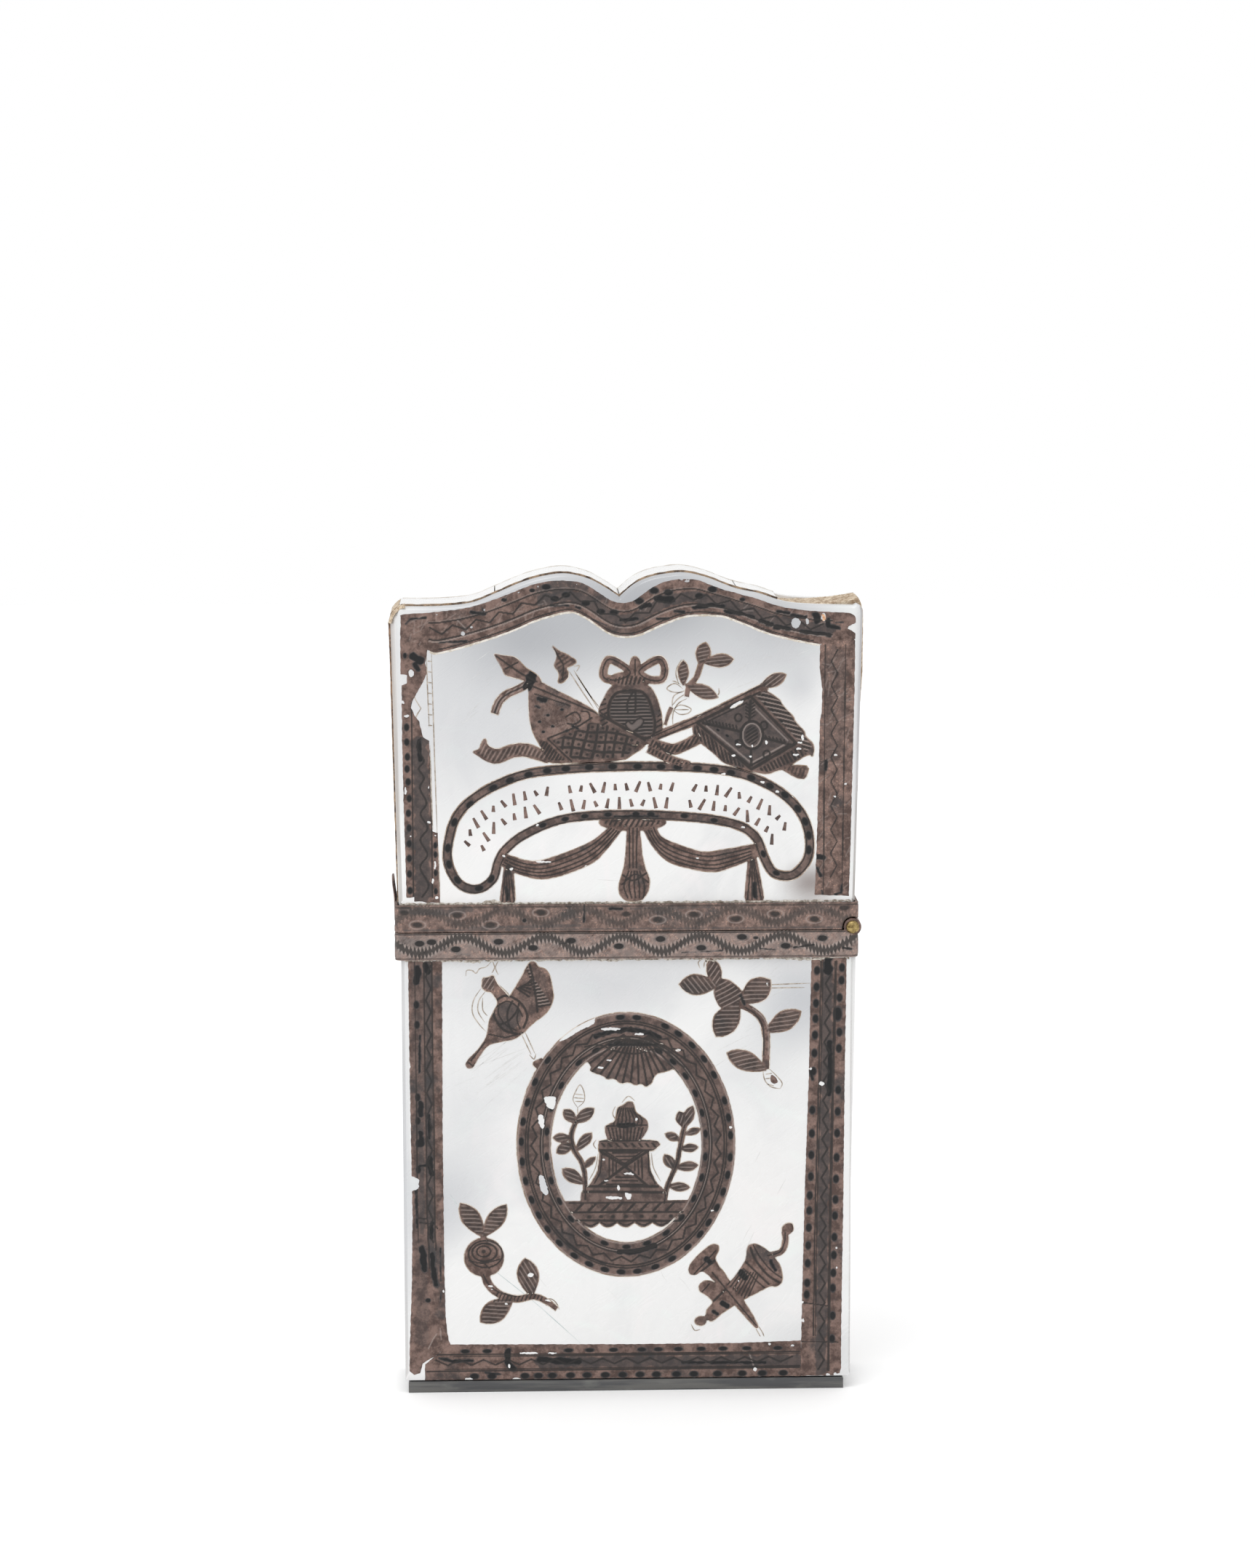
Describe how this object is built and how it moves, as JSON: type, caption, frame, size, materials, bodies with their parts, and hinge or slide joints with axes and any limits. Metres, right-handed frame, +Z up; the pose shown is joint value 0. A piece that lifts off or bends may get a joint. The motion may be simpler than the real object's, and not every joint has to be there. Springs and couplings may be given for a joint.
{
  "type": "mother-of-pearl etui box with hinged lid",
  "caption": "Flat upright mother-of-pearl box with a humped, side-hinged lid, silver rim bands and flush silver inlay.",
  "frame": {"origin": "centre of the underside of the closed box", "axes": "+X to the hinge side, -Y out of the inlaid front, +Z up to the lid"},
  "size_m": [0.0508, 0.0116, 0.09],
  "materials": {
    "mother_of_pearl": "polished shell with faint clouds and sheen",
    "grey_shell": "satin grey shell",
    "tarnished_silver": "tarnished, engraved silver sheet",
    "rim_silver": "tarnished, chased silver with worn highlights",
    "brass": "dull aged brass",
    "mastic": "dry tan glue and mastic"
  },
  "bodies": {
    "case": {"case_front_plate": "mother_of_pearl", "case_back_plate": "mother_of_pearl", "case_left_strip": "mother_of_pearl", "case_right_strip": "mother_of_pearl", "case_base_plate": "grey_shell", "case_band": "rim_silver", "hinge_pin": "brass", "case_left_inlay": "tarnished_silver", "case_right_inlay": "tarnished_silver", "case_bottom_inlay": "tarnished_silver", "medallion_inlay": "tarnished_silver", "winged_torch_inlay": "tarnished_silver", "flower_sprig_inlay": "tarnished_silver", "rose_sprig_inlay": "tarnished_silver", "quiver_inlay": "tarnished_silver", "case_back_left_inlay": "tarnished_silver", "case_back_right_inlay": "tarnished_silver", "case_back_bottom_inlay": "tarnished_silver", "case_back_ring_inlay": "tarnished_silver"},
    "lid": {"lid_front_plate": "mother_of_pearl", "lid_back_plate": "mother_of_pearl", "lid_left_strip": "mother_of_pearl", "lid_right_strip": "mother_of_pearl", "lid_top_strip_1": "mother_of_pearl", "lid_top_strip_2": "mother_of_pearl", "lid_top_strip_3": "mother_of_pearl", "lid_top_strip_4": "mother_of_pearl", "corner_mastic": "mastic", "lid_band": "rim_silver", "lid_left_inlay": "tarnished_silver", "lid_top_inlay": "tarnished_silver", "lid_right_inlay": "tarnished_silver", "trophy_inlay": "tarnished_silver", "arrow_inlay": "tarnished_silver", "banner_inlay": "tarnished_silver", "lid_back_left_inlay": "tarnished_silver", "lid_back_top_inlay": "tarnished_silver", "lid_back_right_inlay": "tarnished_silver"}
  },
  "joints": [
    {"name": "lid_hinge", "type": "hinge", "parent": "case", "child": "lid", "pos_m": [0.02435, 0, 0.0514], "axis": [0, 1, 0], "range_deg": [0, 95]}
  ]
}
